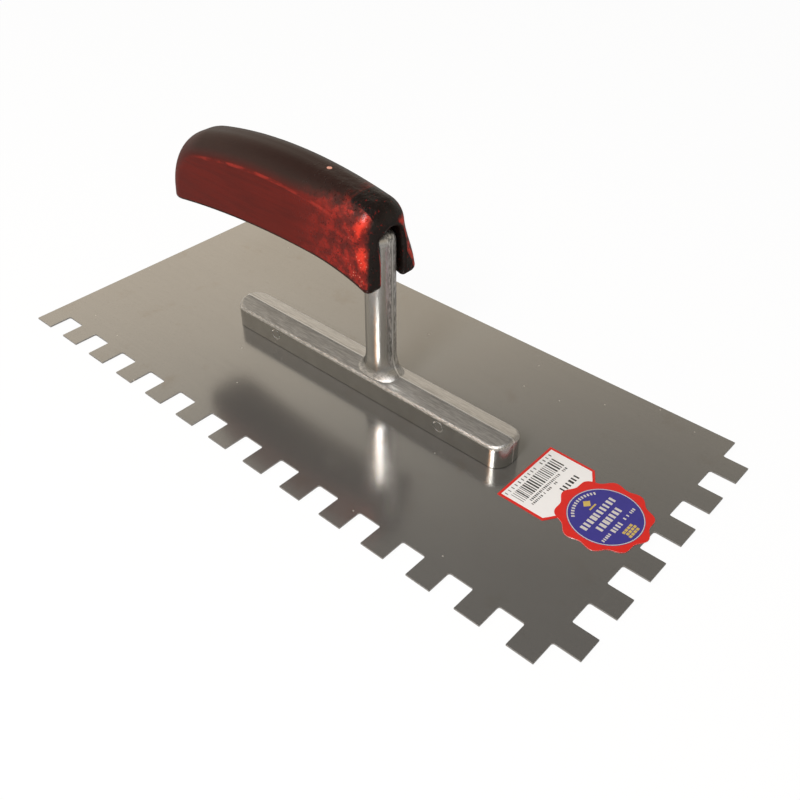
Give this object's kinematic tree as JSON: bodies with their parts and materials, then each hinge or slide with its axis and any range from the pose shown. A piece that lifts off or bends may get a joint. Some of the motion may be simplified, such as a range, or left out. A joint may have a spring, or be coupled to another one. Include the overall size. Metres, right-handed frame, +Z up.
{
  "type": "notched trowel",
  "caption": "Rectangular steel spreading trowel, square-notched along a long edge and a short edge, with a cast post mount and an arched wooden handle.",
  "frame": {"origin": "middle of the blade's underside", "axes": "+X along the blade to the notched short edge, +Y across it to the plain long edge, +Z up from the blade to the handle"},
  "size_m": [0.28, 0.13, 0.0895],
  "materials": {
    "blade_steel": "rolled sheet, semi-bright, with fine grain",
    "cast_aluminium": "ground and tumbled casting",
    "lacquered_wood": "gloss red translucent lacquer, darker on the back",
    "rivet_steel": "ground flush",
    "screw_steel": "zinc plated",
    "label_paper": "gloss printed sticker"
  },
  "bodies": {
    "root": {"blade": "blade_steel", "mount_casting": "cast_aluminium", "handle": "lacquered_wood", "blade_rivets": "rivet_steel", "handle_screw": "screw_steel", "label": "label_paper"}
  },
  "joints": []
}
